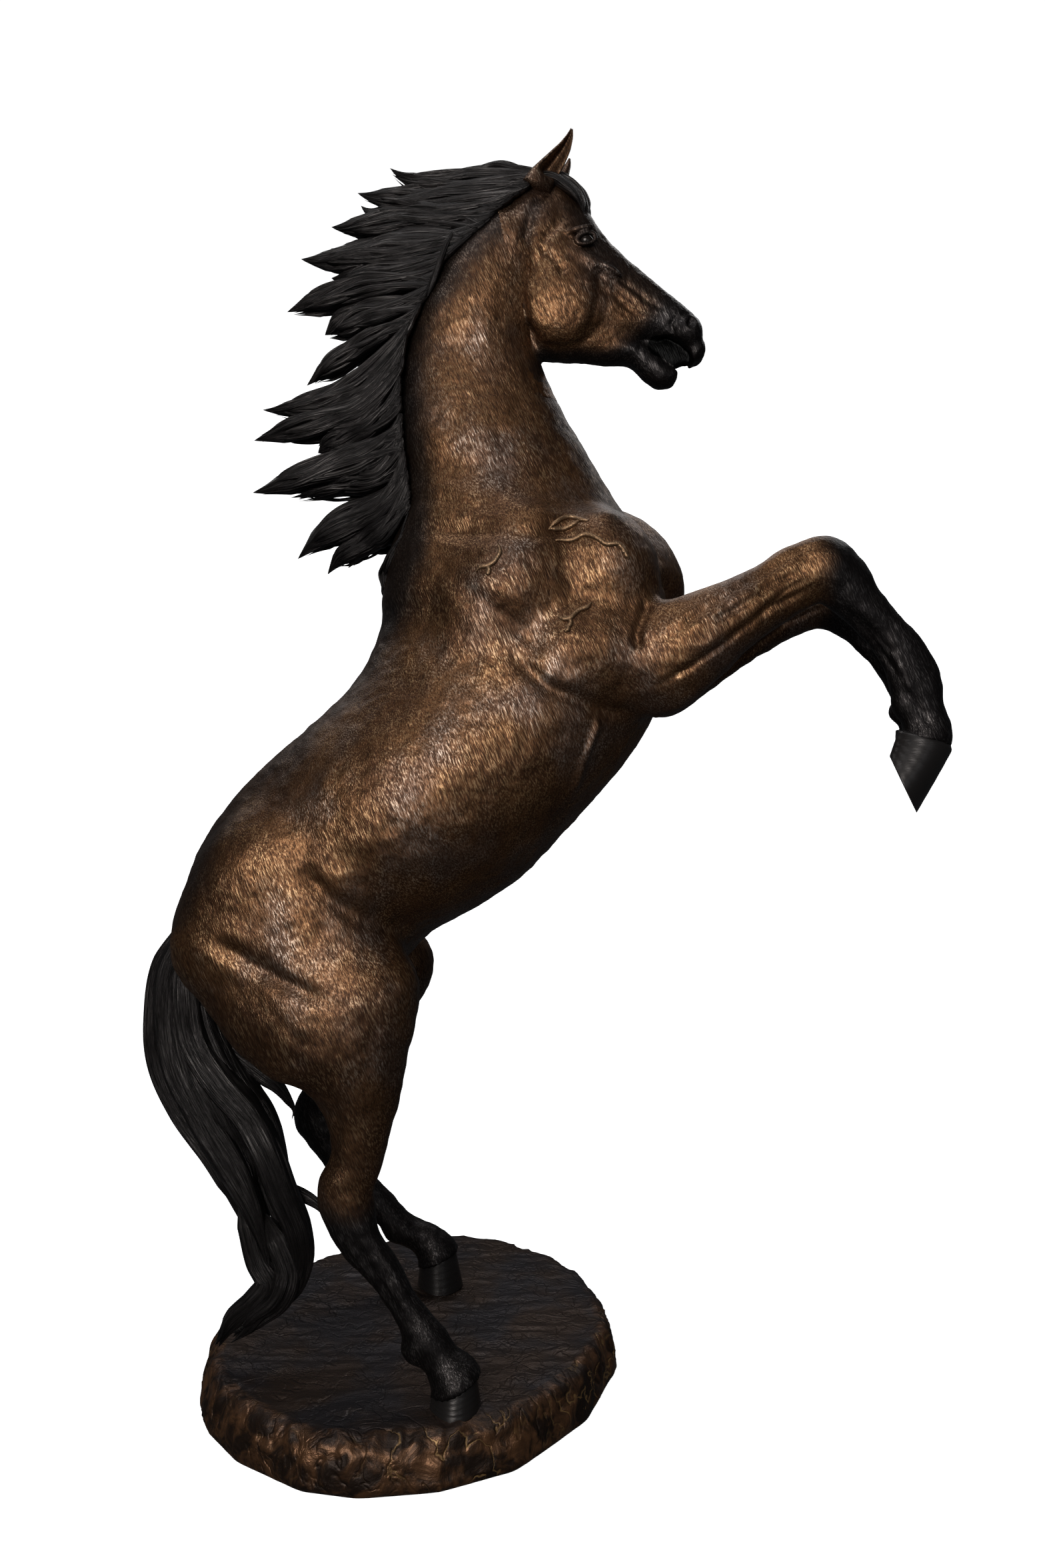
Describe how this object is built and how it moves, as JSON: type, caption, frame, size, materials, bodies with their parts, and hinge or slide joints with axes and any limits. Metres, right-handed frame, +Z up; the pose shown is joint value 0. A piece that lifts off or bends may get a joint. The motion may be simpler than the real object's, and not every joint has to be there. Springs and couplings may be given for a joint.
{
  "type": "rearing horse statue",
  "caption": "Life-size rearing horse cast in patinated bronze, balanced on its hind legs and tail over a low rocky base.",
  "frame": {"origin": "on the flat underside of the base, under the horse's mid-plane", "axes": "+X the way the horse faces, +Z up, -Y the horse's right side"},
  "size_m": [2.0663, 1.0374, 3.1143],
  "materials": {
    "bay_bronze": "bay-brown patinated bronze, chiselled hair strokes",
    "leg_black_bronze": "black patinated bronze with grey strokes",
    "hair_black_bronze": "black patinated bronze, fine grooves",
    "hoof_bronze": "smooth dark grey satin bronze",
    "eye_bronze": "polished near-black bronze",
    "base_bronze": "near-black brown bronze, rocky rim",
    "armature_steel": "mill finish",
    "fixings_steel": "turned"
  },
  "bodies": {
    "root": {"anchor_nut_left": "fixings_steel", "anchor_nut_right": "fixings_steel", "anchor_rod_left": "fixings_steel", "anchor_rod_right": "fixings_steel", "anchor_washer_left": "fixings_steel", "anchor_washer_right": "fixings_steel", "armature_foreleg_left": "armature_steel", "armature_foreleg_right": "armature_steel", "armature_leg_left": "armature_steel", "armature_leg_right": "armature_steel", "armature_neck": "armature_steel", "armature_pelvis": "armature_steel", "armature_spine": "armature_steel", "barrel": "bay_bronze", "base_casting": "base_bronze", "ear_left": "bay_bronze", "ear_right": "bay_bronze", "eye_left": "eye_bronze", "eye_right": "eye_bronze", "fore_cannon_left": "leg_black_bronze", "fore_cannon_right": "leg_black_bronze", "fore_hoof_left": "hoof_bronze", "fore_hoof_right": "hoof_bronze", "forearm_left": "bay_bronze", "forearm_right": "bay_bronze", "forelock": "hair_black_bronze", "forequarters": "bay_bronze", "head": "bay_bronze", "hind_cannon_left": "leg_black_bronze", "hind_cannon_right": "leg_black_bronze", "hind_hoof_left": "hoof_bronze", "hind_hoof_right": "hoof_bronze", "hindquarters": "bay_bronze", "lower_jaw": "bay_bronze", "mane_crest": "hair_black_bronze", "mane_lower": "hair_black_bronze", "mane_middle": "hair_black_bronze", "mane_upper": "hair_black_bronze", "mounting_plate": "armature_steel", "neck": "bay_bronze", "plate_screw_1": "fixings_steel", "plate_screw_2": "fixings_steel", "plate_screw_3": "fixings_steel", "plate_screw_4": "fixings_steel", "tail_lower": "hair_black_bronze", "tail_upper": "hair_black_bronze", "tail_wisp_lower": "hair_black_bronze", "tail_wisp_upper": "hair_black_bronze", "thigh_left": "bay_bronze", "thigh_right": "bay_bronze"}
  },
  "joints": []
}
